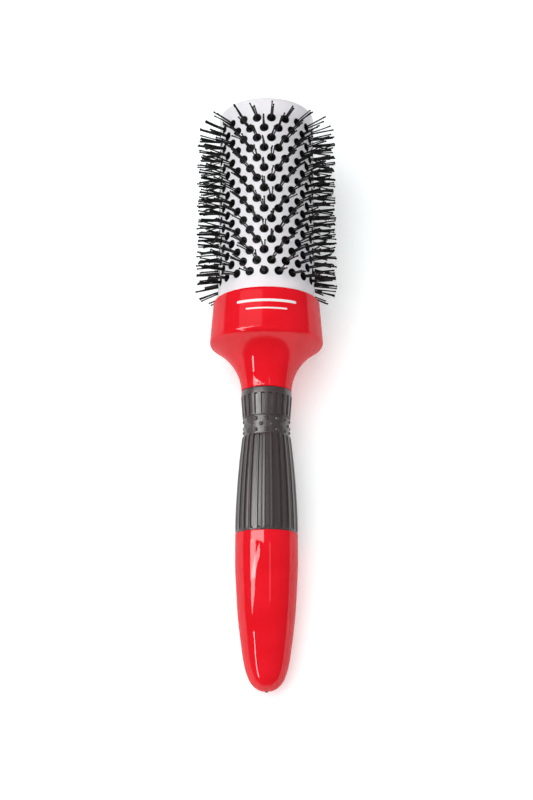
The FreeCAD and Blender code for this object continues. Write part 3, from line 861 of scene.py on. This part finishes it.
def pick_rod():
    """A quarter circle of pick_r at the tip, the rod's side and its bevelled end, turned."""
    start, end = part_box("sectioning_pick")[0][1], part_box("sectioning_pick")[1][1]
    swing = np.linspace(0, math.pi / 2, 9)
    tip = np.stack([pick_r * np.sin(swing), start + pick_r * (1 - np.cos(swing))], 1)
    rest = np.array([(pick_r, end - pick_bevel), (pick_r - pick_bevel, end), (0, end)])
    return turned("pick_rod", np.concatenate([tip, rest]), 40)


coated_steel = grained("coated_steel", (0.055, 0.052, 0.052), (0.085, 0.08, 0.08),
                       0.22, 0.34, 1800.0, 0.000003, Metallic=0.85)
ring_rubber = grained("ring_rubber", (0.012, 0.012, 0.012), (0.020, 0.020, 0.020),
                      0.5, 0.65, 1500.0, 0.000008)
carry(pick_rod(), "pick", "pick_steel", coated_steel, "sectioning_pick")
finish(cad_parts["pick_o_ring"], ring_rubber)


# ---- Studio ----------------------------------------------------------------------------
# The brush lies on pale paper, on the bristle tips next to the handle and on its tail, so
# the paper slopes to the brush's level axis.  The paper glows in a painted pool of light that
# fades away from its middle.  Bright boxes, most at the upper left, show only as reflections;
# two wide fill boxes, the paper's glow and a dim sky light the surfaces.

floor_reach = 3.0
# The floor's painted pool of light, in metres: its middle, and where it starts and ends to fade.
painted_pool_middle, painted_pool_r, painted_pool_end_r = (0.08, 0.12, 0.0), 0.34, 0.54


def floor_slope(tail):
    """The least of (rest_r - radius) / (rest_y - y) over the tail's outline, from the bristle
    tips next to the handle, at rest_r and rest_y: the paper touches both."""
    rest_r = tip_r + tip_scatter
    rest_y = first_ring_y - 1.5 * MM
    slopes = (rest_r - tail[:, 0]) / (rest_y - tail[:, 1])
    return slopes.min(), rest_r, rest_y


def studio_floor():
    """A square plane z = -rest_r - slope (y - rest_y), with painted light: its glow and paleness
    both fade by a smooth step of the distance from the pool's middle, so the paper darkens away
    from it as painted shade, and near it the paper's red is kept lower than its green and blue,
    painted to offset the red light that the handle throws on it."""
    slope, rest_r, rest_y = floor_slope(tail_outside())
    corners = [(x, y, -rest_r - slope * (y - rest_y))
               for x, y in ((-floor_reach, -floor_reach), (floor_reach, -floor_reach),
                            (floor_reach, floor_reach), (-floor_reach, floor_reach))]
    mesh = bpy.data.meshes.new("studio_floor")
    mesh.from_pydata(corners, [], [(0, 1, 2, 3)])
    floor = bpy.data.objects.new("studio_floor", mesh)
    bpy.context.collection.objects.link(floor)
    material, tree, shader = new_material("paper_with_painted_light", Roughness=0.9, Specular_IOR_Level=0.1)
    shader.inputs["Emission Color"].default_value = (1.0, 1.0, 1.0, 1.0)
    place = new_node(tree, "ShaderNodeTexCoord")
    away = new_node(tree, "ShaderNodeVectorMath", {1: painted_pool_middle}, operation="DISTANCE")
    tree.links.new(place.outputs["Object"], away.inputs[0])
    paper = new_node(tree, "ShaderNodeCombineColor")
    # Painted light: the glow, the paleness and the lower red of the paper, each fading with the
    # distance from the pool's middle.
    for near, far, sockets in (
            (0.33, 0.05, [shader.inputs["Emission Strength"]]),
            (0.86, 0.25, [paper.inputs["Red"]]),
            (0.90, 0.25, [paper.inputs["Green"], paper.inputs["Blue"]])):
        fade = new_node(tree, "ShaderNodeMapRange", {
            "From Min": painted_pool_r, "From Max": painted_pool_end_r, "To Min": near, "To Max": far},
            interpolation_type="SMOOTHSTEP")
        tree.links.new(away.outputs["Value"], fade.inputs["Value"])
        for socket in sockets:
            tree.links.new(fade.outputs["Result"], socket)
    tree.links.new(paper.outputs["Color"], shader.inputs["Base Color"])
    mesh.materials.append(material)


def soft_light(name, lean, reach, breadth, radiance, roll=0.0, fill=False):
    """A soft box one metre off, in degrees as seen from the brush: its middle is lean to the
    left of straight up, it covers breadth across and the span reach along the brush, counted
    from straight up towards the barrel end, and roll turns it about its own middle.  A fill
    lights surfaces and isn't seen in them; any other box is seen in them and doesn't light."""
    middle = math.radians(sum(reach) / 2)
    turn = (Euler((0.0, -math.radians(lean), 0.0)).to_matrix()
            @ Euler((-middle, 0.0, math.radians(roll))).to_matrix())
    data = bpy.data.lights.new(name, "AREA")
    data.shape = "RECTANGLE"
    data.size = 2 * math.tan(math.radians(breadth / 2))
    data.size_y = 2 * math.tan(math.radians((reach[1] - reach[0]) / 2))
    data.energy = radiance * math.pi * data.size * data.size_y
    light = bpy.data.objects.new(name, data)
    bpy.context.collection.objects.link(light)
    light.visible_glossy = not fill
    light.visible_diffuse = fill
    light.location = turn @ Vector((0.0, 0.0, 1.0))
    light.rotation_euler = turn.to_euler()


studio_floor()
soft_light("key_slant", 42.0, (-3.0, 3.0), 38.0, 9.0, roll=20.2)
soft_light("key_box", 50.5, (-3.0, 10.0), 21.0, 8.5)
soft_light("key_high", 34.0, (10.0, 17.0), 48.0, 8.0)
soft_light("key_cone", 34.0, (17.0, 34.0), 44.0, 0.75)
soft_light("key_edge", 54.8, (-45.0, -13.5), 4.5, 16.0)
soft_light("key_line", -12.5, (-7.0, 9.0), 4.0, 1.7)
soft_light("fill_left", 20.0, (-30.0, 30.0), 50.0, 2.85, fill=True)
soft_light("fill_top", -10.0, (-45.0, 45.0), 100.0, 0.50, fill=True)
world = bpy.data.worlds.new("studio")
bpy.context.scene.world = world
world.use_nodes = True
world.node_tree.nodes["Background"].inputs["Color"].default_value = (1.0, 1.0, 1.0, 1.0)
world.node_tree.nodes["Background"].inputs["Strength"].default_value = 0.10

view_tilt = math.radians(15.26)
camera_data = bpy.data.cameras.new("camera")
camera_data.lens = 57.3
camera_data.sensor_width = 36.0
camera = bpy.data.objects.new("camera", camera_data)
camera.location = (0.0, -0.151, 0.5349)
camera.rotation_euler = (view_tilt, 0.0, 0.0)
bpy.context.collection.objects.link(camera)
bpy.context.scene.camera = camera
bpy.context.scene.view_settings.view_transform = "Standard"
